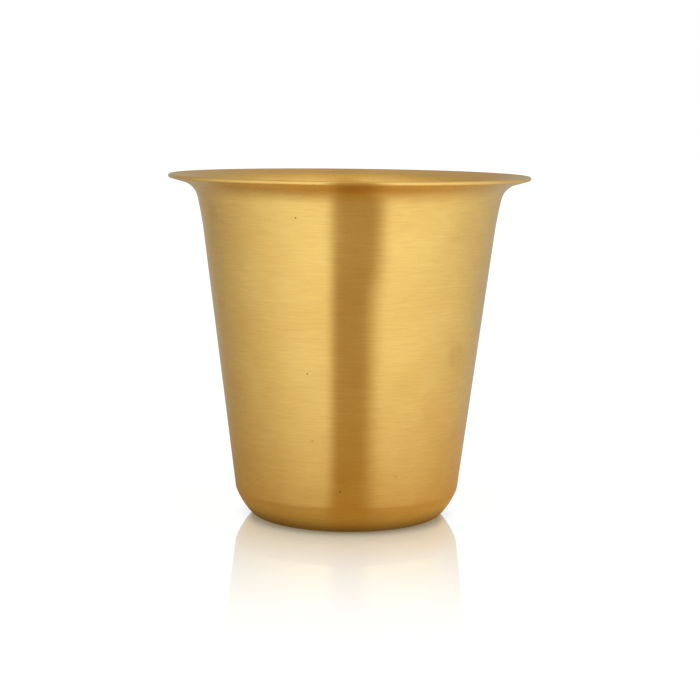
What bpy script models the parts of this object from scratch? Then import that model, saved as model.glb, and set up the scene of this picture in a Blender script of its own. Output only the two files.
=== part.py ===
"""Flared brass tumbler, drawn and spun from a single disc of sheet metal.

The outer face of the sheet is a chain of arcs joined by straight tangents. From the bottom it runs: flat
base, small base round, bevelled heel, shoulder, straight tapering wall, wide bell, tight throat, and a
straight lip that climbs gently to its rounded edge. The inner face follows the same arcs one sheet
thickness further in. The profile lies in the XZ plane and is turned once round Z. The origin is the
middle of the base, on the surface that the tumbler stands on.
"""

import math

import bpy
from mathutils import Vector

MM = 0.001

# Overall sizes.
HEIGHT = 76.0 * MM
LIP_RADIUS = 39.9 * MM
SHEET = 0.9 * MM

# Flat base, the small round at its rim, and the bevelled heel that curves up to the wall's shoulder.
BASE_RADIUS = 19.5 * MM
BASE_ROUND_RADIUS = 3.1 * MM
BASE_ROUND_END = math.radians(-41.6)
HEEL_RADIUS = 16.1 * MM
SHOULDER_RADIUS = 1.9 * MM

# Straight tapering wall: its outer radius at one height, and its lean from upright.
WALL_HEIGHT = 6.75 * MM
WALL_RADIUS = 24.97 * MM
WALL_TAPER = math.radians(7.2)

# Bell and throat: the wall turns out slowly, then sharply, into the lip.
BELL_RADIUS = 86.5 * MM
BELL_END = math.radians(12.6)
THROAT_RADIUS = 4.6 * MM
LIP_RISE = math.radians(16.0)

# Fineness: flats round the tumbler, and steps along each arc of the profile.
SIDES = 72
BASE_ROUND_STEPS = 4
HEEL_STEPS = 3
SHOULDER_STEPS = 2
BELL_STEPS = 3
THROAT_STEPS = 7
EDGE_UNDER_STEPS = 2
EDGE_OVER_STEPS = 3
MERGE_DISTANCE = 0.01 * MM

# Satin brass.
BRASS_COLOR = (0.76, 0.50, 0.16, 1.0)
BRASS_ROUGHNESS = 0.32
BRASS_METALLIC = 1.0


def clear_scene():
    """Remove whatever the scene already holds."""
    for item in list(bpy.data.objects):
        bpy.data.objects.remove(item, do_unlink=True)


def direction(angle):
    """Unit vector in the profile's plane (radius, height), at an angle above the horizontal."""
    return Vector((math.cos(angle), math.sin(angle)))


def crossing(normal_a, reach_a, normal_b, reach_b):
    """Point that lies reach_a along normal_a and reach_b along normal_b."""
    spread = normal_a.x * normal_b.y - normal_a.y * normal_b.x
    x = (reach_a * normal_b.y - reach_b * normal_a.y) / spread
    y = (reach_b * normal_a.x - reach_a * normal_b.x) / spread
    return Vector((x, y))


def edge_centre():
    """Middle of the half-round edge of the lip."""
    return Vector((LIP_RADIUS - SHEET / 2, HEIGHT - SHEET / 2))


def wall_arcs():
    """Arcs of the outer face, bottom to top, each (centre, bend, first angle, last angle, steps).

    An angle is that of the outward normal. bend is the arc's radius, positive where the face bulges out
    and negative where it is hollow.
    """
    base_angle = -math.pi / 2
    wall_angle = -WALL_TAPER
    bell_angle = -BELL_END
    lip_angle = LIP_RISE - math.pi / 2
    wall_normal = direction(wall_angle)
    wall_run = direction(math.pi / 2 - WALL_TAPER)
    bell_normal = direction(bell_angle)
    lip_normal = direction(lip_angle)
    wall_point = Vector((WALL_RADIUS, WALL_HEIGHT))

    # The base round touches the ground and runs smoothly on into the heel.
    round_centre = Vector((BASE_RADIUS, BASE_ROUND_RADIUS))
    heel_centre = round_centre + (BASE_ROUND_RADIUS - HEEL_RADIUS) * direction(BASE_ROUND_END)

    # The shoulder's circle touches the wall's line and the inside of the heel's circle.
    offset = wall_point - SHOULDER_RADIUS * wall_normal - heel_centre
    along = offset.dot(wall_run)
    reach = HEEL_RADIUS - SHOULDER_RADIUS
    slide = -along - math.sqrt(along * along - offset.dot(offset) + reach * reach)
    to_shoulder = offset + slide * wall_run
    shoulder_centre = heel_centre + to_shoulder
    heel_angle = math.atan2(to_shoulder.y, to_shoulder.x)

    # The throat's circle touches the lip's underside and the bell, and the bell touches the wall.
    step_out = (BELL_RADIUS - THROAT_RADIUS) * bell_normal
    lip_underside = edge_centre() + (SHEET / 2) * lip_normal
    throat_centre = crossing(
        wall_normal,
        wall_point.dot(wall_normal) + BELL_RADIUS - step_out.dot(wall_normal),
        lip_normal,
        lip_underside.dot(lip_normal) + THROAT_RADIUS,
    )
    bell_centre = throat_centre + step_out

    return [
        (round_centre, BASE_ROUND_RADIUS, base_angle, BASE_ROUND_END, BASE_ROUND_STEPS),
        (heel_centre, HEEL_RADIUS, BASE_ROUND_END, heel_angle, HEEL_STEPS),
        (shoulder_centre, SHOULDER_RADIUS, heel_angle, wall_angle, SHOULDER_STEPS),
        (bell_centre, -BELL_RADIUS, wall_angle, bell_angle, BELL_STEPS),
        (throat_centre, -THROAT_RADIUS, bell_angle, lip_angle, THROAT_STEPS),
    ]


def face_points(depth):
    """Points of the sheet's face that lies this deep under the outer one, bottom to top."""
    points = []
    for centre, bend, first, last, steps in wall_arcs():
        for step in range(steps + 1):
            angle = first + (last - first) * step / steps
            point = centre + (bend - depth) * direction(angle)
            if not points or (point - points[-1]).length > MERGE_DISTANCE:
                points.append(point)
    return points


def edge_points():
    """Points round the lip's half-round edge, over the top and down to the underside, ends left out."""
    under_angle = LIP_RISE - math.pi / 2
    over = [math.pi / 2 * (1 - step / EDGE_OVER_STEPS) for step in range(EDGE_OVER_STEPS)]
    under = [under_angle * step / EDGE_UNDER_STEPS for step in range(EDGE_UNDER_STEPS)]
    return [edge_centre() + (SHEET / 2) * direction(angle) for angle in over + under]


def lip_ends():
    """Where the lip's straight top face and underside meet its half-round edge."""
    lip_normal = direction(LIP_RISE - math.pi / 2)
    return edge_centre() - (SHEET / 2) * lip_normal, edge_centre() + (SHEET / 2) * lip_normal


def profile_points():
    """Whole profile: floor, up the inside, over the edge, down the outside, and across the base."""
    lip_top, lip_under = lip_ends()
    inside = [Vector((0.0, SHEET))] + face_points(SHEET) + [lip_top]
    outside = [lip_under] + face_points(0.0)[::-1] + [Vector((0.0, 0.0))]
    return inside + edge_points() + outside


def brass_material():
    """Satin brass."""
    material = bpy.data.materials.new("satin_brass")
    material.use_nodes = True
    shader = material.node_tree.nodes["Principled BSDF"]
    shader.inputs["Base Color"].default_value = BRASS_COLOR
    shader.inputs["Roughness"].default_value = BRASS_ROUGHNESS
    shader.inputs["Metallic"].default_value = BRASS_METALLIC
    return material


def make_vessel():
    """The tumbler: the profile turned once round Z."""
    points = profile_points()
    mesh = bpy.data.meshes.new("vessel")
    mesh.from_pydata(
        [(point.x, 0.0, point.y) for point in points],
        [(index, index + 1) for index in range(len(points) - 1)],
        [],
    )
    mesh.materials.append(brass_material())
    vessel = bpy.data.objects.new("vessel", mesh)
    bpy.context.scene.collection.objects.link(vessel)

    turning = vessel.modifiers.new("Turning", "SCREW")
    turning.axis = "Z"
    turning.angle = 2 * math.pi
    turning.steps = SIDES
    turning.render_steps = SIDES
    turning.use_merge_vertices = True
    turning.merge_threshold = MERGE_DISTANCE
    turning.use_smooth_shade = True
    return vessel


def main():
    """Build the tumbler in an empty scene."""
    clear_scene()
    make_vessel()


if __name__ == "__main__":
    main()
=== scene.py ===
"""Brushed brass tumbler: one spun sheet of brass on a white acrylic table, in plain soft studio light."""

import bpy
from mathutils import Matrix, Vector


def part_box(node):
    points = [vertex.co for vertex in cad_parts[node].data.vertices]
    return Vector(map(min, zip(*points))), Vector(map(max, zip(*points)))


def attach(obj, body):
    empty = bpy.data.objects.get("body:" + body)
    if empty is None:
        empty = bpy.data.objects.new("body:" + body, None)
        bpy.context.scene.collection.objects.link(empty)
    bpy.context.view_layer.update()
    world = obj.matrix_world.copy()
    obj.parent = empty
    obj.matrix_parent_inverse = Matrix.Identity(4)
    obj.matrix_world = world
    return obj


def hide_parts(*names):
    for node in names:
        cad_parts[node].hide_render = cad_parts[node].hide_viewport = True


bl_info = {
    "name": "Brushed Brass Tumbler",
    "version": (1, 0, 0),
    "blender": (4, 5, 0),
    "location": "3D View > Sidebar > Tumbler",
    "description": "Builds a spun brass tumbler with its brushed finish, and the table and light to show it",
    "category": "Object",
}

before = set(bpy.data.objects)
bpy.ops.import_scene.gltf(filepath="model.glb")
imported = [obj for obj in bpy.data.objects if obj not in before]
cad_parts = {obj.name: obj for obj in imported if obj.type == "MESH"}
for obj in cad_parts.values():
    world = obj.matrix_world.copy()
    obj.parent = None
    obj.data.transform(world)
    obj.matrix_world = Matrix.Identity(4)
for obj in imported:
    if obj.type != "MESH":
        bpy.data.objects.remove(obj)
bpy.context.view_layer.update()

import math

import bpy
from bpy.props import FloatProperty, FloatVectorProperty, IntProperty, PointerProperty
from mathutils import Matrix, Vector

MM = 0.001
NODE = "vessel"
BODY = "root"
LOWEST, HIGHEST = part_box(NODE)

# Attribute of the vessel's mesh: metres along the profile, from the middle of the floor inside, up the
# inside, over the lip and down the outside to the middle of the base.
RUN = "run"

# Points along each arc of the profile, bottom to top, and round the half-round edge of the lip.
ARC_POINTS = {"Base Round": 9, "Heel": 8, "Shoulder": 7, "Bell": 8, "Throat": 18}
EDGE_POINTS = 15
MERGE_DISTANCE = 0.004 * MM

# Angles round the vessel are from the front, and positive to the right.
# Unevenness of the hand-finished lip: waves round it, share of the dip, angle of a high point.
LIP_WAVES = ((1, 0.4, 50.0), (2, 0.4, 25.0), (3, 0.2, 15.0))

# Pits in the outside: angle, height and radius in mm.
PITS = (
    (-19.4, 68.1, 0.20),
    (-17.0, 35.4, 0.20),
    (-2.8, 9.9, 0.32),
    (23.6, 72.6, 0.20),
    (-15.7, 20.9, 0.15),
    (24.0, 13.0, 0.14),
    (-62.0, 51.0, 0.16),
    (118.0, 44.0, 0.18),
    (163.0, 22.0, 0.16),
    (-141.0, 61.0, 0.17),
)

# Finger smudges and stains on the outside, in the same way.
SMUDGES = (
    (-62.0, 68.0, 3.2),
    (-65.0, 48.5, 3.0),
    (52.0, 38.0, 4.5),
    (140.0, 40.0, 5.0),
    (-150.0, 30.0, 4.0),
)

# Share of its radius over which a pit, a smudge or the swelling is at its full strength.
SPOT_CORE = 0.3

# Brush bands against brushed lines: four times as long, and about seven times as wide.
BAND_SCALE = (0.25, 0.25, 0.14)

# Range that holds nearly all of the noise in the lines, and in the smoother bands.
LINE_NOISE = (0.25, 0.75)
BAND_NOISE = (0.3, 0.7)

# Range of the noise over which clean brass gives way to tarnish.
TARNISH_NOISE = (0.40, 0.66)

# The table as the brass sees it, painted with shade and light, by distance from the vessel's axis in mm:
# where its three painted shades lie, and where the painted softbox light on it begins and where it is full.
SHADE_RADII = (21.5, 25.0, 36.0)
LIGHT_RADII = (23.0, 200.0)


def linear(code):
    """Turn an sRGB hex colour into linear red, green and blue."""
    channels = [int(code[start:start + 2], 16) / 255 for start in (1, 3, 5)]
    return tuple(c / 12.92 if c <= 0.04045 else ((c + 0.055) / 1.055) ** 2.4 for c in channels)


def add_node(tree, kind, inputs=None, stops=(), **settings):
    """Add one node to a tree, and return it.

    settings are its properties. inputs gives sockets, by name or number, a value, another node's socket,
    or a node for its first output. stops are a colour ramp's places and linear colours.
    """
    made = tree.nodes.new(kind)
    for name, value in settings.items():
        setattr(made, name, value)
    for index, (place, colour) in enumerate(stops):
        elements = made.color_ramp.elements
        stop = elements[index] if index < len(elements) else elements.new(1.0)
        stop.position = place
        stop.color = (*colour, 1.0)
    for key, value in (inputs or {}).items():
        if isinstance(key, int):
            socket = made.inputs[key]
        else:
            socket = next(item for item in made.inputs if item.name == key and item.enabled)
        if isinstance(value, bpy.types.Node):
            value = next(item for item in value.outputs if item.enabled)
        if isinstance(value, bpy.types.NodeSocket):
            tree.links.new(value, socket)
        else:
            socket.default_value = value
    return made


def length_property(name, description, millimetres):
    """A length setting whose default is given in millimetres."""
    return FloatProperty(
        name=name, description=description, default=millimetres * MM, min=0, unit="LENGTH", precision=5
    )


def angle_property(name, description, degrees):
    """An angle setting whose default is given in degrees."""
    return FloatProperty(name=name, description=description, default=math.radians(degrees), subtype="ANGLE")


def factor_property(name, description, default):
    """A setting from 0 to 1."""
    return FloatProperty(name=name, description=description, default=default, min=0, max=1, subtype="FACTOR")


def colour_property(name, description, code):
    """A colour setting whose default is an sRGB hex value."""
    return FloatVectorProperty(
        name=name, description=description, subtype="COLOR", size=3, min=0, max=1, default=linear(code)
    )


class VesselSizes(bpy.types.PropertyGroup):
    """Sizes of the spun vessel. The overall ones come from the frame."""

    height: length_property("Height", "From the table to the top of the lip", HIGHEST.z / MM)
    lip_radius: length_property("Lip Radius", "Outer radius of the lip", HIGHEST.x / MM)
    sheet: length_property("Sheet", "Thickness of the brass sheet", 0.9)
    base_radius: length_property("Base Radius", "Radius of the flat disc that it stands on", 19.5)
    base_round: length_property("Base Round", "Radius of the round at the rim of the base", 3.1)
    base_round_end: angle_property("Base Round End", "Slope where the base round meets the heel", -41.6)
    heel: length_property("Heel", "Radius of the bevelled heel", 16.1)
    shoulder: length_property("Shoulder", "Radius where the heel turns into the wall", 1.9)
    wall_height: length_property("Wall Height", "Height at which the wall's radius is given", 6.75)
    wall_radius: length_property("Wall Radius", "Outer radius of the wall at that height", 24.97)
    taper: angle_property("Taper", "Lean of the straight wall from upright", 7.2)
    bell: length_property("Bell", "Radius of the slow curve above the wall", 86.5)
    bell_end: angle_property("Bell End", "Lean of the wall where the throat begins", 12.6)
    throat: length_property("Throat", "Radius of the sharp curve under the lip", 4.6)
    lip_rise: angle_property("Lip Rise", "Climb of the lip above level", 16.0)
    lip_wave: length_property("Lip Wave", "Most that the hand-finished lip dips", 0.06)
    lip_start: factor_property("Lip Start", "Share of the height at which the lip's dips begin", 0.93)
    swelling: length_property("Swelling", "Rise of the soft swelling that spinning left in the wall", 0.5)
    swelling_width: length_property("Swelling Width", "Distance over which the swelling dies away", 18.0)
    swelling_height: length_property("Swelling Height", "Height of the middle of the swelling", 67.0)
    swelling_turn: angle_property("Swelling Turn", "Angle of the swelling round the vessel", 27.0)
    ring_gap: length_property("Ring Gap", "Largest gap between rings of the mesh", 2.0)
    sides: IntProperty(name="Sides", description="Faces round the vessel", default=192, min=48, max=300)


class BrassFinish(bpy.types.PropertyGroup):
    """Colours and marks of the brushed brass."""

    clean: colour_property("Clean Brass", "Brass where the brushing is fresh", "#EAC774")
    tarnish: colour_property("Tarnish", "Brass that has yellowed in the air", "#E6C06D")
    pit: colour_property("Pit", "Bottom of a small pit", "#7A5420")
    roughness: factor_property("Roughness", "Softness of the reflections", 0.265)
    rough_swing: factor_property("Roughness Swing", "How far the brush bands vary the roughness", 0.02)
    grooves: factor_property("Grooves", "How far the grooves draw reflections out across them", 0.96)
    line_gap: length_property("Line Gap", "Spacing of the brushed lines", 0.34)
    line_length: length_property("Line Length", "Length of a brushed line", 5.0)
    line_depth: length_property("Line Depth", "Depth of the brushed lines", 0.002)
    line_tone: factor_property("Line Tone", "How far the lines lighten and darken the metal", 0.07)
    band_tone: factor_property("Band Tone", "How far the bands lighten and darken the metal", 0.015)
    smudge_tone: factor_property("Smudge Tone", "How far a smudge darkens the metal", 0.07)
    smudge_rough: factor_property("Smudge Roughness", "Roughness that a smudge adds", 0.12)
    skin: length_property("Skin Print", "Width of the mottling in a smudge", 1.6)
    pit_depth: length_property("Pit Depth", "Depth of a pit", 0.05)
    cloud: length_property("Tarnish Patch", "Width of a patch of tarnish", 12.0)


class StudioSettings(bpy.types.PropertyGroup):
    """Camera, table and light."""

    distance: length_property("Distance", "From the aimed point to the camera", 401.3)
    aim_height: length_property("Aim Height", "Height of the aimed point", 36.89)
    aim_side: length_property("Aim Side", "How far the aimed point is to the right of the axis", 0.48)
    pitch: angle_property("Pitch", "How far the camera looks down", 7.632)
    roll: angle_property("Roll", "Turn of the camera about its view", 0.632)
    lens: FloatProperty(name="Lens", description="Focal length in millimetres", default=92.34, min=10)
    light: FloatProperty(name="Light", description="Brightness of the softboxes", default=2.1, min=0)
    softbox: colour_property("Softbox", "Light of the softboxes, as a share of the brightness", "#C9C8C7")
    gap: colour_property("Gap", "Light from the gap between the softboxes", "#877863")
    back: colour_property("Back", "Light from behind the vessel", "#807A72")
    overhead: colour_property("Overhead", "Light from straight above", "#AB9B88")
    table: FloatProperty(name="Table", description="Half the width of the table", default=3.0, unit="LENGTH")
    gloss: factor_property("Gloss", "Strength of the table's reflection at the foot of the vessel", 0.82)
    gloss_fade: length_property("Gloss Fade", "Distance from the foot at which the reflection is gone", 122.0)
    gloss_power: FloatProperty(
        name="Gloss Power", description="How fast the reflection fades at first", default=2.6, min=1
    )
    polish: colour_property("Polish", "Tint of the table's reflection", "#DCE0EE")
    glow: factor_property("Glow", "Brightness of the table's light from below", 0.87)
    acrylic: colour_property("Acrylic", "Colour of the table under its glow", "#8F8F8F")
    # Painted contact shadow on the table's glow and colour.
    contact: factor_property("Contact Shadow", "Brightness of the table where the vessel touches it", 0.35)
    contact_in: length_property("Contact In", "How far the contact shadow reaches under the vessel", 1.0)
    contact_out: length_property("Contact Out", "How far the contact shadow reaches outside it", 6.0)
    # Painted shade and golden bounce light of the table, which only the brass's reflections see; lighter on
    # the right.
    shade_foot: colour_property("Shade At Foot", "Table in the brass, at the foot", "#4E3E26")
    shade_heel: colour_property("Shade At Heel", "Table in the brass, beside the heel", "#826B42")
    shade_wall: colour_property("Shade At Wall", "Table in the brass, golden from the wall", "#7C5A0C")
    tilt: factor_property("Tilt", "How much lighter the shaded table is on the right", 0.22)


def direction(angle):
    """Unit vector in the profile's plane (radius, height), at an angle above the horizontal."""
    return Vector((math.cos(angle), math.sin(angle)))


def crossing(normal_a, reach_a, normal_b, reach_b):
    """Point that lies reach_a along normal_a and reach_b along normal_b."""
    spread = normal_a.x * normal_b.y - normal_a.y * normal_b.x
    x = (reach_a * normal_b.y - reach_b * normal_a.y) / spread
    y = (reach_b * normal_a.x - reach_a * normal_b.x) / spread
    return Vector((x, y))


def edge_centre(sizes):
    """Middle of the half-round edge of the lip."""
    return Vector((sizes.lip_radius - sizes.sheet / 2, sizes.height - sizes.sheet / 2))


def wall_arcs(sizes):
    """Arcs of the outer face, bottom to top: name, centre, bend, first and last angle, points.

    An angle is that of the outward normal. bend is the arc's radius, negative where the face is hollow.
    """
    wall_angle = -sizes.taper
    bell_angle = -sizes.bell_end
    lip_angle = sizes.lip_rise - math.pi / 2
    wall_normal = direction(wall_angle)
    wall_run = direction(math.pi / 2 - sizes.taper)
    lip_normal = direction(lip_angle)
    wall_point = Vector((sizes.wall_radius, sizes.wall_height))

    # The base round touches the table and runs smoothly on into the heel.
    round_centre = Vector((sizes.base_radius, sizes.base_round))
    heel_centre = round_centre + (sizes.base_round - sizes.heel) * direction(sizes.base_round_end)

    # The shoulder's circle touches the wall's line and the inside of the heel's circle.
    offset = wall_point - sizes.shoulder * wall_normal - heel_centre
    along = offset.dot(wall_run)
    reach = sizes.heel - sizes.shoulder
    slide = -along - math.sqrt(along * along - offset.dot(offset) + reach * reach)
    to_shoulder = offset + slide * wall_run
    heel_angle = math.atan2(to_shoulder.y, to_shoulder.x)

    # The throat's circle touches the lip's underside and the bell, and the bell touches the wall.
    step_out = (sizes.bell - sizes.throat) * direction(bell_angle)
    underside = edge_centre(sizes) + sizes.sheet / 2 * lip_normal
    throat_centre = crossing(
        wall_normal,
        wall_point.dot(wall_normal) + sizes.bell - step_out.dot(wall_normal),
        lip_normal,
        underside.dot(lip_normal) + sizes.throat,
    )
    arcs = (
        ("Base Round", round_centre, sizes.base_round, -math.pi / 2, sizes.base_round_end),
        ("Heel", heel_centre, sizes.heel, sizes.base_round_end, heel_angle),
        ("Shoulder", heel_centre + to_shoulder, sizes.shoulder, heel_angle, wall_angle),
        ("Bell", throat_centre + step_out, -sizes.bell, wall_angle, bell_angle),
        ("Throat", throat_centre, -sizes.throat, bell_angle, lip_angle),
    )
    return [(*arc, ARC_POINTS[arc[0]]) for arc in arcs]


def outer_radius(sizes, height):
    """Radius of the outer face at a height on the wall."""
    points = []
    for name, centre, bend, first, last, steps in wall_arcs(sizes):
        for step in range(steps):
            points.append(centre + bend * direction(first + (last - first) * step / (steps - 1)))
    for low, high in zip(points, points[1:]):
        if low.y <= height < high.y:
            return low.x + (high.x - low.x) * (height - low.y) / (high.y - low.y)
    raise ValueError(f"the wall doesn't reach a height of {height} m")


def place_on_wall(sizes, turn, height):
    """Place on the outer face, by its angle from the front and its height."""
    out = outer_radius(sizes, height)
    return (out * math.sin(turn), -out * math.cos(turn), height)


def sheet_arc_tree():
    """Geometry nodes that lay points along one arc of the sheet, X being the radius and Y the height."""
    tree = bpy.data.node_groups.new("Sheet Arc", "GeometryNodeTree")
    sockets = tree.interface
    sockets.new_socket("Points", in_out="OUTPUT", socket_type="NodeSocketGeometry")
    sockets.new_socket("Centre", in_out="INPUT", socket_type="NodeSocketVector")
    for name in ("Bend", "Depth", "From", "To"):
        sockets.new_socket(name, in_out="INPUT", socket_type="NodeSocketFloat")
    sockets.new_socket("Count", in_out="INPUT", socket_type="NodeSocketInt")
    given = add_node(tree, "NodeGroupInput").outputs
    last = add_node(tree, "ShaderNodeMath", {0: given["Count"], 1: 1.0}, operation="SUBTRACT")
    angle = add_node(
        tree,
        "ShaderNodeMapRange",
        {
            "Value": add_node(tree, "GeometryNodeInputIndex"),
            "From Max": last,
            "To Min": given["From"],
            "To Max": given["To"],
        },
        clamp=False,
    )
    across = add_node(tree, "ShaderNodeMath", {0: angle}, operation="COSINE")
    up = add_node(tree, "ShaderNodeMath", {0: angle}, operation="SINE")
    radius = add_node(tree, "ShaderNodeMath", {0: given["Bend"], 1: given["Depth"]}, operation="SUBTRACT")
    out = add_node(tree, "ShaderNodeCombineXYZ", {"X": across, "Y": up})
    reach = add_node(tree, "ShaderNodeVectorMath", {0: out, "Scale": radius}, operation="SCALE")
    place = add_node(tree, "ShaderNodeVectorMath", {0: given["Centre"], 1: reach}, operation="ADD")
    points = add_node(tree, "GeometryNodePoints", {"Count": given["Count"], "Position": place})
    add_node(tree, "NodeGroupOutput", {"Points": points})
    return tree


def spun_sheet_tree(arcs, material):
    """Geometry nodes that turn one sheet of metal round Z.

    The profile runs from the middle of the floor up the inside, round the lip's edge, down the outside and
    in to the middle of the base.
    """
    tree = bpy.data.node_groups.new("Spun Sheet", "GeometryNodeTree")
    tree.interface.new_socket("Geometry", in_out="OUTPUT", socket_type="NodeSocketGeometry")
    lengths = ("Height", "Lip Radius", "Sheet", "Lip Wave", "Wave Start", "Swelling", "Swelling Width")
    for name in (*lengths, "Lip Angle", "Ring Gap"):
        tree.interface.new_socket(name, in_out="INPUT", socket_type="NodeSocketFloat")
    tree.interface.new_socket("Swelling Middle", in_out="INPUT", socket_type="NodeSocketVector")
    tree.interface.new_socket("Sides", in_out="INPUT", socket_type="NodeSocketInt")
    for name, centre, bend, first, last, count in arcs:
        tree.interface.new_socket(name + " Centre", in_out="INPUT", socket_type="NodeSocketVector")
        for part in (" Bend", " From", " To"):
            tree.interface.new_socket(name + part, in_out="INPUT", socket_type="NodeSocketFloat")
        tree.interface.new_socket(name + " Points", in_out="INPUT", socket_type="NodeSocketInt")
    given = add_node(tree, "NodeGroupInput").outputs
    arc_tree = sheet_arc_tree()

    # The inner face, bottom to top, and the outer face, top to bottom.
    inside = []
    outside = []
    for name, centre, bend, first, last, count in arcs:
        shared = {
            "Centre": given[name + " Centre"],
            "Bend": given[name + " Bend"],
            "Count": given[name + " Points"],
        }
        low, high = given[name + " From"], given[name + " To"]
        inner = {**shared, "Depth": given["Sheet"], "From": low, "To": high}
        outer = {**shared, "Depth": 0.0, "From": high, "To": low}
        inside.append(add_node(tree, "GeometryNodeGroup", inner, node_tree=arc_tree))
        outside.insert(0, add_node(tree, "GeometryNodeGroup", outer, node_tree=arc_tree))

    # The half-round edge of the lip.
    half = add_node(tree, "ShaderNodeMath", {0: given["Sheet"], 1: 0.5}, operation="MULTIPLY")
    edge_x = add_node(tree, "ShaderNodeMath", {0: given["Lip Radius"], 1: half}, operation="SUBTRACT")
    edge_y = add_node(tree, "ShaderNodeMath", {0: given["Height"], 1: half}, operation="SUBTRACT")
    edge_inputs = {
        "Centre": add_node(tree, "ShaderNodeCombineXYZ", {"X": edge_x, "Y": edge_y}),
        "Bend": half,
        "Depth": 0.0,
        "From": add_node(tree, "ShaderNodeMath", {0: given["Lip Angle"], 1: math.pi}, operation="ADD"),
        "To": given["Lip Angle"],
        "Count": EDGE_POINTS,
    }
    edge = add_node(tree, "GeometryNodeGroup", edge_inputs, node_tree=arc_tree)
    floor_middle = add_node(tree, "ShaderNodeCombineXYZ", {"Y": given["Sheet"]})
    floor = add_node(tree, "GeometryNodePoints", {"Count": 1, "Position": floor_middle})
    base = add_node(tree, "GeometryNodePoints", {"Count": 1})

    # Join Geometry puts its newest link first, so the stretches are linked from last to first.
    joined = add_node(tree, "GeometryNodeJoinGeometry")
    for stretch in reversed([floor, *inside, edge, *outside, base]):
        tree.links.new(stretch.outputs[0], joined.inputs[0])
    line = add_node(tree, "GeometryNodePointsToCurves", {"Points": joined})

    # Straight stretches get rings too, so that the shading stays even on them.
    spline = add_node(tree, "GeometryNodeSplineParameter")
    index = add_node(tree, "GeometryNodeInputIndex")
    following = add_node(tree, "FunctionNodeIntegerMath", {0: index, 1: 1}, operation="ADD")
    next_length = add_node(
        tree,
        "GeometryNodeFieldAtIndex",
        {"Index": following, "Value": spline.outputs["Length"]},
        data_type="FLOAT",
        domain="POINT",
    )
    gap = add_node(
        tree, "ShaderNodeMath", {0: next_length, 1: spline.outputs["Length"]}, operation="SUBTRACT"
    )
    share = add_node(tree, "ShaderNodeMath", {0: gap, 1: given["Ring Gap"]}, operation="DIVIDE")
    positive = add_node(tree, "ShaderNodeMath", {0: share, 1: 0.0}, operation="MAXIMUM")
    cuts = add_node(tree, "ShaderNodeMath", {0: positive}, operation="FLOOR")
    fine = add_node(tree, "GeometryNodeSubdivideCurve", {"Curve": line, "Cuts": cuts})

    # A grid has one column for each side and one row for each point of the profile.
    size = add_node(tree, "GeometryNodeAttributeDomainSize", {"Geometry": fine}, component="CURVE")
    rows = size.outputs["Point Count"]
    columns = add_node(tree, "FunctionNodeIntegerMath", {0: given["Sides"], 1: 1}, operation="ADD")
    grid = add_node(tree, "GeometryNodeMeshGrid", {"Vertices X": columns, "Vertices Y": rows})
    grid_index = add_node(tree, "GeometryNodeInputIndex")
    row = add_node(tree, "FunctionNodeIntegerMath", {0: grid_index, 1: rows}, operation="MODULO")
    column = add_node(tree, "FunctionNodeIntegerMath", {0: grid_index, 1: rows}, operation="DIVIDE_FLOOR")
    side = add_node(tree, "ShaderNodeMath", {0: 2 * math.pi, 1: given["Sides"]}, operation="DIVIDE")
    turn = add_node(tree, "ShaderNodeMath", {0: column, 1: side}, operation="MULTIPLY")
    profile = add_node(
        tree,
        "GeometryNodeSampleIndex",
        {"Geometry": fine, "Value": add_node(tree, "GeometryNodeInputPosition"), "Index": row},
        data_type="FLOAT_VECTOR",
        domain="POINT",
    )
    profile_length = add_node(
        tree,
        "GeometryNodeSampleIndex",
        {"Geometry": fine, "Value": spline.outputs["Length"], "Index": row},
        data_type="FLOAT",
        domain="POINT",
    )
    axes = add_node(tree, "ShaderNodeSeparateXYZ", {0: profile}).outputs

    # The lip dips a little between its high points, and the dips die out at the top of the wall.
    swell = 1.0
    for waves, share_of_dip, high_point in LIP_WAVES:
        phase = add_node(
            tree,
            "ShaderNodeMath",
            {0: turn, 1: float(waves), 2: -waves * math.radians(high_point)},
            operation="MULTIPLY_ADD",
        )
        wave = add_node(tree, "ShaderNodeMath", {0: phase}, operation="COSINE")
        swell = add_node(
            tree, "ShaderNodeMath", {0: wave, 1: -share_of_dip, 2: swell}, operation="MULTIPLY_ADD"
        )
    near_lip = add_node(
        tree,
        "ShaderNodeMapRange",
        {
            "Value": axes["X"],
            "From Min": given["Wave Start"],
            "From Max": given["Lip Radius"],
            "To Max": add_node(tree, "ShaderNodeMath", {0: given["Lip Wave"], 1: -0.5}, operation="MULTIPLY"),
        },
        interpolation_type="SMOOTHSTEP",
    )
    height = add_node(
        tree, "ShaderNodeMath", {0: swell, 1: near_lip, 2: axes["Y"]}, operation="MULTIPLY_ADD"
    )
    sideways = add_node(tree, "ShaderNodeMath", {0: turn}, operation="SINE")
    forwards = add_node(tree, "ShaderNodeMath", {0: turn}, operation="COSINE")
    backwards = add_node(tree, "ShaderNodeMath", {0: forwards, 1: -1.0}, operation="MULTIPLY")
    place = add_node(
        tree,
        "ShaderNodeCombineXYZ",
        {
            "X": add_node(tree, "ShaderNodeMath", {0: axes["X"], 1: sideways}, operation="MULTIPLY"),
            "Y": add_node(tree, "ShaderNodeMath", {0: axes["X"], 1: backwards}, operation="MULTIPLY"),
            "Z": height,
        },
    )

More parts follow.
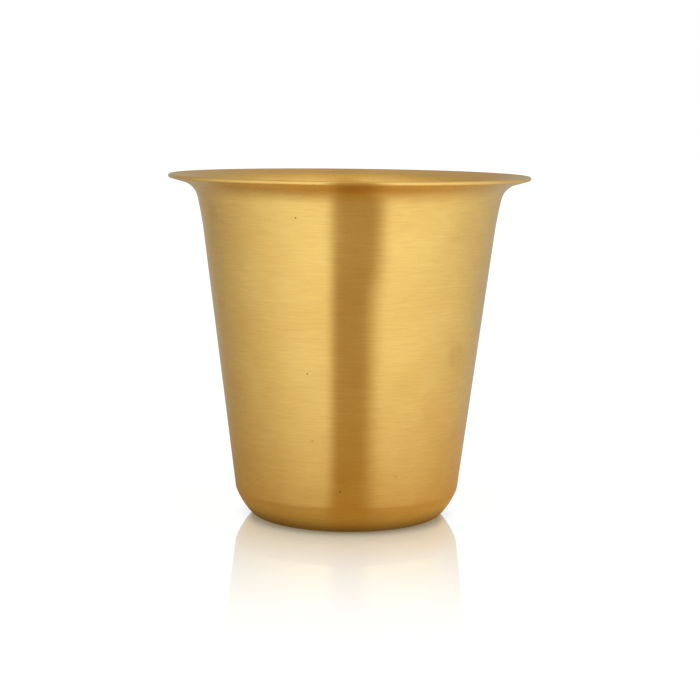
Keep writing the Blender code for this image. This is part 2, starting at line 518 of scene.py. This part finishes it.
    # The swelling pushes both faces of the wall out, and leaves the lip round.
    away = add_node(
        tree, "ShaderNodeVectorMath", {0: place, 1: given["Swelling Middle"]}, operation="DISTANCE"
    )
    core = add_node(
        tree, "ShaderNodeMath", {0: given["Swelling Width"], 1: SPOT_CORE}, operation="MULTIPLY"
    )
    rise = add_node(
        tree,
        "ShaderNodeMapRange",
        {
            "Value": away.outputs["Value"],
            "From Min": given["Swelling Width"],
            "From Max": core,
            "To Max": given["Swelling"],
        },
        interpolation_type="SMOOTHSTEP",
    )
    below_lip = add_node(
        tree,
        "ShaderNodeMapRange",
        {"Value": axes["X"], "From Min": given["Lip Radius"], "From Max": given["Wave Start"]},
        interpolation_type="SMOOTHSTEP",
    )
    push = add_node(tree, "ShaderNodeMath", {0: rise, 1: below_lip}, operation="MULTIPLY")
    outwards = add_node(tree, "ShaderNodeCombineXYZ", {"X": sideways, "Y": backwards})
    pushed = add_node(tree, "ShaderNodeVectorMath", {0: outwards, "Scale": push}, operation="SCALE")
    turned = add_node(
        tree, "GeometryNodeSetPosition", {"Geometry": grid, "Position": place, "Offset": pushed}
    )
    measured = add_node(
        tree,
        "GeometryNodeStoreNamedAttribute",
        {"Geometry": turned, "Name": RUN, "Value": profile_length},
        data_type="FLOAT",
        domain="POINT",
    )
    closed = add_node(tree, "GeometryNodeMergeByDistance", {"Geometry": measured, "Distance": MERGE_DISTANCE})

    # The grid's faces come out pointing into the metal, so they are turned to face outwards.
    outward = add_node(tree, "GeometryNodeFlipFaces", {"Mesh": closed})
    smooth = add_node(tree, "GeometryNodeSetShadeSmooth", {"Geometry": outward, "Shade Smooth": True})
    real = add_node(tree, "GeometryNodeRealizeInstances", {"Geometry": smooth})
    coated = add_node(tree, "GeometryNodeSetMaterial", {"Geometry": real, "Material": material})
    add_node(tree, "NodeGroupOutput", {"Geometry": coated})
    return tree


def brushed_brass(sizes, finish):
    """Sheet brass (about 65 % copper, 35 % zinc), spun and then brushed round the axis, with no lacquer.

    The brushed grooves run round the vessel, so a light's reflection stays narrow round it and is drawn out
    up and down it. That gives upright bands of light and dark with soft ends. Thumb-sized patches have
    yellowed a little, and there are a few pits and finger smudges.
    """
    material = bpy.data.materials.new("brushed_brass")
    material.use_nodes = True
    tree = material.node_tree
    tree.nodes.clear()
    place = add_node(tree, "ShaderNodeTexCoord").outputs["Object"]
    axes = add_node(tree, "ShaderNodeSeparateXYZ", {0: place}).outputs
    run = add_node(tree, "ShaderNodeAttribute", attribute_name=RUN).outputs["Fac"]

    # Brushed lines. Real ones are about 0.05 mm apart, so these are drawn 0.34 mm apart to show at all.
    scaled = {}
    for axis, source, size in (
        ("X", axes["X"], finish.line_length),
        ("Y", axes["Y"], finish.line_length),
        ("Z", run, finish.line_gap),
    ):
        scaled[axis] = add_node(tree, "ShaderNodeMath", {0: source, 1: 1 / size}, operation="MULTIPLY")
    lines_at = add_node(tree, "ShaderNodeCombineXYZ", scaled)
    lines = add_node(
        tree, "ShaderNodeTexNoise", {"Vector": lines_at, "Scale": 1.0, "Detail": 3.0, "Roughness": 0.65}
    ).outputs["Fac"]

    # Broader, longer bands that the brush left, several lines wide.
    bands_at = add_node(
        tree, "ShaderNodeVectorMath", {0: lines_at, 1: BAND_SCALE}, operation="MULTIPLY"
    )
    bands = add_node(
        tree, "ShaderNodeTexNoise", {"Vector": bands_at, "Scale": 1.0, "Detail": 2.0}
    ).outputs["Fac"]

    # Patches of tarnish, about as wide as a thumb, with finer mottling inside them.
    cloud = add_node(
        tree,
        "ShaderNodeTexNoise",
        {"Vector": place, "Scale": 1 / finish.cloud, "Detail": 3.0, "Roughness": 0.55},
    ).outputs["Fac"]
    patch = add_node(
        tree,
        "ShaderNodeMapRange",
        {"Value": cloud, "From Min": TARNISH_NOISE[0], "From Max": TARNISH_NOISE[1]},
    )

    # Pits and smudges, each a soft round spot at its own place on the wall.
    spots = {}
    for kind, marks in (("pit", PITS), ("smudge", SMUDGES)):
        deepest = 0.0
        for angle, height, radius in marks:
            centre = place_on_wall(sizes, math.radians(angle), height * MM)
            away = add_node(tree, "ShaderNodeVectorMath", {0: place, 1: centre}, operation="DISTANCE")
            spot = add_node(
                tree,
                "ShaderNodeMapRange",
                {
                    "Value": away.outputs["Value"],
                    "From Min": radius * MM,
                    "From Max": radius * SPOT_CORE * MM,
                },
                interpolation_type="SMOOTHSTEP",
            )
            deepest = add_node(tree, "ShaderNodeMath", {0: spot, 1: deepest}, operation="MAXIMUM")
        spots[kind] = deepest
    print_lines = add_node(
        tree, "ShaderNodeTexNoise", {"Vector": place, "Scale": 1 / finish.skin, "Detail": 2.0}
    ).outputs["Fac"]
    smudge = add_node(tree, "ShaderNodeMath", {0: spots["smudge"], 1: print_lines}, operation="MULTIPLY")

    # Colour: clean brass, tarnish over it in patches, then the tone of the lines, smudges and pits.
    metal = add_node(
        tree,
        "ShaderNodeMix",
        {"Factor": patch, "A": (*finish.clean, 1.0), "B": (*finish.tarnish, 1.0)},
        data_type="RGBA",
    )
    line_tone = add_node(
        tree,
        "ShaderNodeMapRange",
        {
            "Value": lines,
            "From Min": LINE_NOISE[0],
            "From Max": LINE_NOISE[1],
            "To Min": 1 - finish.line_tone,
            "To Max": 1 + finish.line_tone,
        },
    )
    band_tone = add_node(
        tree,
        "ShaderNodeMapRange",
        {
            "Value": bands,
            "From Min": BAND_NOISE[0],
            "From Max": BAND_NOISE[1],
            "To Min": 1 - finish.band_tone,
            "To Max": 1 + finish.band_tone,
        },
    )
    smudge_tone = add_node(
        tree, "ShaderNodeMapRange", {"Value": smudge, "To Min": 1.0, "To Max": 1 - finish.smudge_tone}
    )
    tone = add_node(tree, "ShaderNodeMath", {0: line_tone, 1: band_tone}, operation="MULTIPLY")
    tone = add_node(tree, "ShaderNodeMath", {0: tone, 1: smudge_tone}, operation="MULTIPLY")
    toned = add_node(tree, "ShaderNodeVectorMath", {0: metal, "Scale": tone}, operation="SCALE")
    colour = add_node(
        tree,
        "ShaderNodeMix",
        {"Factor": spots["pit"], "A": toned, "B": (*finish.pit, 1.0)},
        data_type="RGBA",
    )

    # Roughness: the brush bands and the smudges vary it a little.
    rough = add_node(
        tree,
        "ShaderNodeMapRange",
        {
            "Value": bands,
            "From Min": BAND_NOISE[0],
            "From Max": BAND_NOISE[1],
            "To Min": finish.roughness - finish.rough_swing,
            "To Max": finish.roughness + finish.rough_swing,
        },
    )
    rough = add_node(
        tree, "ShaderNodeMath", {0: smudge, 1: finish.smudge_rough, 2: rough}, operation="MULTIPLY_ADD"
    )

    # Relief: shallow lines, and the pits.
    relief = add_node(
        tree, "ShaderNodeBump", {"Height": lines, "Distance": finish.line_depth, "Strength": 1.0}
    )
    dents = add_node(
        tree,
        "ShaderNodeBump",
        {"Height": spots["pit"], "Distance": finish.pit_depth, "Strength": 1.0, "Normal": relief},
        invert=True,
    )

    # The tangent runs round the axis with the grooves, and the quarter turn draws reflections out upwards.
    inwards = add_node(tree, "ShaderNodeMath", {0: axes["Y"], 1: -1.0}, operation="MULTIPLY")
    around = add_node(tree, "ShaderNodeCombineXYZ", {"X": inwards, "Y": axes["X"]})
    tangent = add_node(tree, "ShaderNodeVectorMath", {0: around}, operation="NORMALIZE")
    shader = add_node(
        tree,
        "ShaderNodeBsdfPrincipled",
        {
            "Base Color": colour,
            "Metallic": 1.0,
            "Roughness": rough,
            "Anisotropic": finish.grooves,
            "Anisotropic Rotation": 0.25,
            "Tangent": tangent,
            "Normal": dents,
        },
    )
    add_node(tree, "ShaderNodeOutputMaterial", {"Surface": shader})
    return material


def softbox_ring(tree, turn, studio):
    """Colour of the light from the side, by its angle from the front, as a share of the studio's light.

    Two tall softboxes stand to the left and right of the camera. The gap between them is behind it, and
    beyond each softbox the light falls off slowly towards the back of the vessel.
    """
    # Angle in degrees and the light there. The ramp eases from each to the next.
    ring = (
        (-180, studio.back),
        (-140, studio.back),
        (-18, studio.softbox),
        (-7, studio.gap),
        (10, studio.gap),
        (30, studio.softbox),
        (180, studio.back),
    )
    share = add_node(
        tree, "ShaderNodeMapRange", {"Value": turn, "From Min": -math.pi, "From Max": math.pi}
    )
    stops = [((degrees + 180) / 360, colour) for degrees, colour in ring]
    ramp = add_node(tree, "ShaderNodeValToRGB", {"Fac": share}, stops)
    ramp.color_ramp.interpolation = "EASE"
    return ramp.outputs["Color"]


def angle_from_front(tree, axes):
    """Angle of a place or direction round the vessel, from the front and positive to the right."""
    forwards = add_node(tree, "ShaderNodeMath", {0: axes["Y"], 1: -1.0}, operation="MULTIPLY")
    return add_node(tree, "ShaderNodeMath", {0: axes["X"], 1: forwards}, operation="ARCTAN2")


def far_out(tree, away, radii):
    """How far out a place on the table is between two radii in mm, from 0 to 1, on a log scale."""
    grown = add_node(tree, "ShaderNodeMath", {0: away, 1: math.e}, operation="LOGARITHM")
    first, last = (math.log(radius * MM) for radius in radii)
    return add_node(tree, "ShaderNodeMapRange", {"Value": grown, "From Min": first, "From Max": last})


def table_in_brass(tree, axes, away, studio):
    """Colour of the table as the brass sees it, as a share of the studio's light.

    This is painted light, which only the brass's reflections see. Close to the foot it is a painted shadow of
    the vessel, tinted golden by painted light from its wall. Further out it is painted light of the
    softboxes.
    """
    nearest, middle, furthest = SHADE_RADII
    halfway = math.log(middle / nearest) / math.log(furthest / nearest)
    # Painted shade at the foot and beside the heel, and painted golden light from the wall further out.
    stops = ((0.0, studio.shade_foot), (halfway, studio.shade_heel), (1.0, studio.shade_wall))
    outwards = far_out(tree, away, (nearest, furthest))
    shade = add_node(tree, "ShaderNodeValToRGB", {"Fac": outwards}, stops).outputs["Color"]
    # The painted shade is lighter on the right.
    aside = add_node(tree, "ShaderNodeMath", {0: axes["X"], 1: away}, operation="DIVIDE")
    slope = add_node(tree, "ShaderNodeMath", {0: aside, 1: studio.tilt, 2: 1.0}, operation="MULTIPLY_ADD")
    shade = add_node(tree, "ShaderNodeVectorMath", {0: shade, "Scale": slope}, operation="SCALE")
    # Painted softbox light on the table, which takes over further out.
    ring = softbox_ring(tree, angle_from_front(tree, axes), studio)
    lit = far_out(tree, away, LIGHT_RADII)
    return add_node(tree, "ShaderNodeMix", {"Factor": lit, "A": shade, "B": ring}, data_type="RGBA")


def white_acrylic(sizes, studio):
    """Polished white acrylic sheet, lit from below: it glows white round a sharp image of the vessel.

    The image is strongest at the foot and fades with distance from it. The camera sees the table like
    that, and the brass sees painted shade and light on it, as table_in_brass paints them.
    """
    material = bpy.data.materials.new("white_acrylic")
    material.use_nodes = True
    tree = material.node_tree
    tree.nodes.clear()
    place = add_node(tree, "ShaderNodeTexCoord").outputs["Object"]
    axes = add_node(tree, "ShaderNodeSeparateXYZ", {0: place}).outputs
    away = add_node(tree, "ShaderNodeVectorMath", {0: place}, operation="LENGTH").outputs["Value"]

    # Share of the reflection. Its tint keeps back some red and green from the brass's image.
    near = add_node(
        tree,
        "ShaderNodeMapRange",
        {
            "Value": away,
            "From Min": sizes.base_radius,
            "From Max": sizes.base_radius + studio.gloss_fade,
            "To Min": 1.0,
            "To Max": 0.0,
        },
    )
    curve = add_node(tree, "ShaderNodeMath", {0: near, 1: studio.gloss_power}, operation="POWER")
    share = add_node(tree, "ShaderNodeMath", {0: curve, 1: studio.gloss}, operation="MULTIPLY")
    image = add_node(
        tree, "ShaderNodeVectorMath", {0: tuple(studio.polish), "Scale": share}, operation="SCALE"
    )

    # The white under it has what the reflection leaves, darkened by a painted contact shadow where the vessel
    # stands.
    rest = add_node(tree, "ShaderNodeVectorMath", {0: (1.0, 1.0, 1.0), 1: image}, operation="SUBTRACT")
    shadow = add_node(
        tree,
        "ShaderNodeMapRange",
        {
            "Value": away,
            "From Min": sizes.base_radius - studio.contact_in,
            "From Max": sizes.base_radius + studio.contact_out,
            "To Min": studio.contact,
        },
        interpolation_type="SMOOTHSTEP",
    )
    rest = add_node(tree, "ShaderNodeVectorMath", {0: rest, "Scale": shadow}, operation="SCALE")
    acrylic = add_node(
        tree, "ShaderNodeVectorMath", {0: tuple(studio.acrylic), 1: rest}, operation="MULTIPLY"
    )
    glow = add_node(tree, "ShaderNodeEmission", {"Color": rest, "Strength": studio.glow})
    body = add_node(tree, "ShaderNodeBsdfDiffuse", {"Color": acrylic})
    white = add_node(tree, "ShaderNodeAddShader", {0: glow, 1: body})
    mirror = add_node(tree, "ShaderNodeBsdfGlossy", {"Color": image, "Roughness": 0.0})
    polished = add_node(tree, "ShaderNodeAddShader", {0: white, 1: mirror})

    # The brass's reflections see the table as painted light in place of its polish.
    in_brass = add_node(tree, "ShaderNodeLightPath").outputs["Is Glossy Ray"]
    seen = table_in_brass(tree, axes, away, studio)
    painted_light = add_node(tree, "ShaderNodeEmission", {"Color": seen, "Strength": studio.light})
    surface = add_node(tree, "ShaderNodeMixShader", {0: in_brass, 1: polished, 2: painted_light})
    add_node(tree, "ShaderNodeOutputMaterial", {"Surface": surface})
    return material


def studio_light(studio):
    """Soft light from the left and right and above, in a white room."""
    world = bpy.data.worlds.new("Studio")
    world.use_nodes = True
    tree = world.node_tree
    tree.nodes.clear()
    look = add_node(tree, "ShaderNodeTexCoord").outputs["Generated"]
    axes = add_node(tree, "ShaderNodeSeparateXYZ", {0: look}).outputs
    ring = softbox_ring(tree, angle_from_front(tree, axes), studio)
    rise = add_node(tree, "ShaderNodeMath", {0: axes["Z"]}, operation="ARCSINE")
    height = add_node(tree, "ShaderNodeMapRange", {"Value": rise, "From Max": math.pi / 2})

    # The softboxes end 12 degrees up, and the overhead light is a quarter of the mix at 50 degrees.
    shares = ((12, 0.0), (50, 0.25), (90, 1.0))
    stops = [(degrees / 90, (share, share, share)) for degrees, share in shares]
    above = add_node(tree, "ShaderNodeValToRGB", {"Fac": height}, stops).outputs["Color"]
    light = add_node(
        tree,
        "ShaderNodeMix",
        {"Factor": above, "A": ring, "B": (*studio.overhead, 1.0)},
        data_type="RGBA",
    )

    # The room shows as plain white behind the vessel, and in the table's sharp mirror image of it.
    white = (1 / studio.light,) * 3
    path = add_node(tree, "ShaderNodeLightPath").outputs
    seen = add_node(
        tree, "ShaderNodeMath", {0: path["Is Camera Ray"], 1: path["Is Singular Ray"]}, operation="MAXIMUM"
    )
    shown = add_node(
        tree, "ShaderNodeMix", {"Factor": seen, "A": light, "B": (*white, 1.0)}, data_type="RGBA"
    )
    sky = add_node(tree, "ShaderNodeBackground", {"Color": shown, "Strength": studio.light})
    add_node(tree, "ShaderNodeOutputWorld", {"Surface": sky})
    return world


class TUMBLER_OT_add_vessel(bpy.types.Operator):
    """Spin the vessel from its profile and give it the brushed brass"""

    bl_idname = "tumbler.add_vessel"
    bl_label = "Vessel"

    def execute(self, context):
        sizes = context.scene.tumbler_sizes
        arcs = wall_arcs(sizes)
        material = brushed_brass(sizes, context.scene.tumbler_finish)
        tree = spun_sheet_tree(arcs, material)
        values = {
            "Height": sizes.height,
            "Lip Radius": sizes.lip_radius,
            "Lip Angle": sizes.lip_rise - math.pi / 2,
            "Sheet": sizes.sheet,
            "Lip Wave": sizes.lip_wave,
            "Wave Start": outer_radius(sizes, sizes.lip_start * sizes.height),
            "Ring Gap": sizes.ring_gap,
            "Swelling": sizes.swelling,
            "Swelling Width": sizes.swelling_width,
            "Swelling Middle": place_on_wall(sizes, sizes.swelling_turn, sizes.swelling_height),
            "Sides": sizes.sides,
        }
        for name, centre, bend, first, last, count in arcs:
            values[name + " Centre"] = (*centre, 0.0)
            values[name + " Bend"] = bend
            values[name + " From"] = first
            values[name + " To"] = last
            values[name + " Points"] = count

        maker = bpy.data.objects.new("spinning", bpy.data.meshes.new("spinning"))
        context.scene.collection.objects.link(maker)
        spinning = maker.modifiers.new("Spinning", "NODES")
        spinning.node_group = tree
        for item in tree.interface.items_tree:
            if item.in_out == "INPUT":
                spinning[item.identifier] = values[item.name]
        mesh = bpy.data.meshes.new_from_object(maker.evaluated_get(context.evaluated_depsgraph_get()))
        bpy.data.objects.remove(maker)
        if not mesh.polygons:
            raise RuntimeError("the spun sheet came out empty")
        mesh.name = "brass_vessel"
        vessel = bpy.data.objects.new("brass_vessel", mesh)
        context.scene.collection.objects.link(vessel)
        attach(vessel, BODY)
        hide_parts(NODE)
        return {"FINISHED"}


class TUMBLER_OT_add_stage(bpy.types.Operator):
    """Add the table, the studio light and the camera"""

    bl_idname = "tumbler.add_stage"
    bl_label = "Stage"

    def execute(self, context):
        scene = context.scene
        studio = scene.tumbler_studio
        half = studio.table
        low = LOWEST.z
        mesh = bpy.data.meshes.new("table")
        corners = ((-half, -half, low), (half, -half, low), (half, half, low), (-half, half, low))
        mesh.from_pydata(corners, [], [(0, 1, 2, 3)])
        mesh.materials.append(white_acrylic(scene.tumbler_sizes, studio))
        table = bpy.data.objects.new("table", mesh)
        scene.collection.objects.link(table)

        scene.world = studio_light(studio)
        scene.view_settings.view_transform = "Standard"

        data = bpy.data.cameras.new("camera")
        data.lens = studio.lens
        data.clip_start = 0.01
        data.clip_end = 20.0
        camera = bpy.data.objects.new("camera", data)
        scene.collection.objects.link(camera)
        aim = Vector((studio.aim_side, 0.0, studio.aim_height))
        turn = Matrix.Rotation(math.pi / 2 - studio.pitch, 4, "X") @ Matrix.Rotation(studio.roll, 4, "Z")
        back = turn @ Vector((0.0, 0.0, studio.distance))
        camera.matrix_world = Matrix.Translation(aim + back) @ turn
        scene.camera = camera
        return {"FINISHED"}


class TUMBLER_PT_build(bpy.types.Panel):
    """Settings and build steps of the tumbler"""

    bl_idname = "TUMBLER_PT_build"
    bl_label = "Brushed Brass Tumbler"
    bl_space_type = "VIEW_3D"
    bl_region_type = "UI"
    bl_category = "Tumbler"

    def draw(self, context):
        scene = context.scene
        for step in STEPS:
            self.layout.operator(step.bl_idname)
        for settings in (scene.tumbler_sizes, scene.tumbler_finish, scene.tumbler_studio):
            box = self.layout.box()
            for name in settings.bl_rna.properties.keys():
                if name not in ("rna_type", "name"):
                    box.prop(settings, name)


STEPS = (TUMBLER_OT_add_vessel, TUMBLER_OT_add_stage)
SETTINGS = {
    "tumbler_sizes": VesselSizes,
    "tumbler_finish": BrassFinish,
    "tumbler_studio": StudioSettings,
}


def register():
    """Register the settings, operators and panel."""
    for kind in (*SETTINGS.values(), *STEPS, TUMBLER_PT_build):
        bpy.utils.register_class(kind)
    for name, kind in SETTINGS.items():
        setattr(bpy.types.Scene, name, PointerProperty(type=kind))


def unregister():
    """Remove what register added."""
    for name in SETTINGS:
        delattr(bpy.types.Scene, name)
    for kind in (TUMBLER_PT_build, *reversed(STEPS), *reversed(SETTINGS.values())):
        bpy.utils.unregister_class(kind)


def main():
    """Build the tumbler and its stage."""
    register()
    bpy.ops.tumbler.add_vessel()
    bpy.ops.tumbler.add_stage()


if __name__ == "__main__":
    main()
